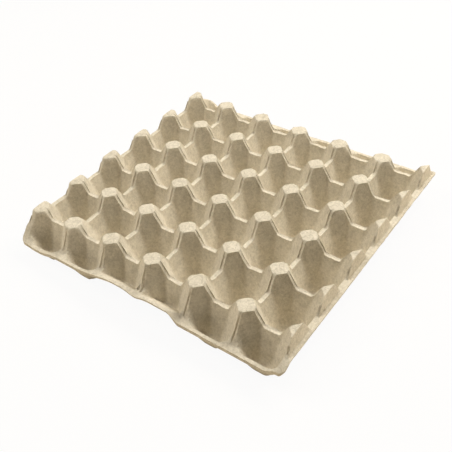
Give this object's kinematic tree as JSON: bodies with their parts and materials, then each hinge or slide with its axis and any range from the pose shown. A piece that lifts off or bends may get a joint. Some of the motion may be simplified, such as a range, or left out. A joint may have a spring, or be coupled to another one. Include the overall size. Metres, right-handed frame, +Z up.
{
  "type": "egg tray",
  "caption": "Square moulded pulp egg tray: a thin sheet of hollow ribbed posts, low saddles and deep eight-sided egg pockets, with half pockets along two edges.",
  "frame": {"origin": "centre of the footprint, at the level of the pocket bottoms that stand on the table", "axes": "+Z up out of the pockets, +X along the rows of six pockets, +Y towards the back edge; the half pockets are along the front and back edges"},
  "size_m": [0.2934, 0.2956, 0.046],
  "materials": {
    "pulp": "matte, fibrous"
  },
  "bodies": {
    "root": {"tray": "pulp"}
  },
  "joints": []
}
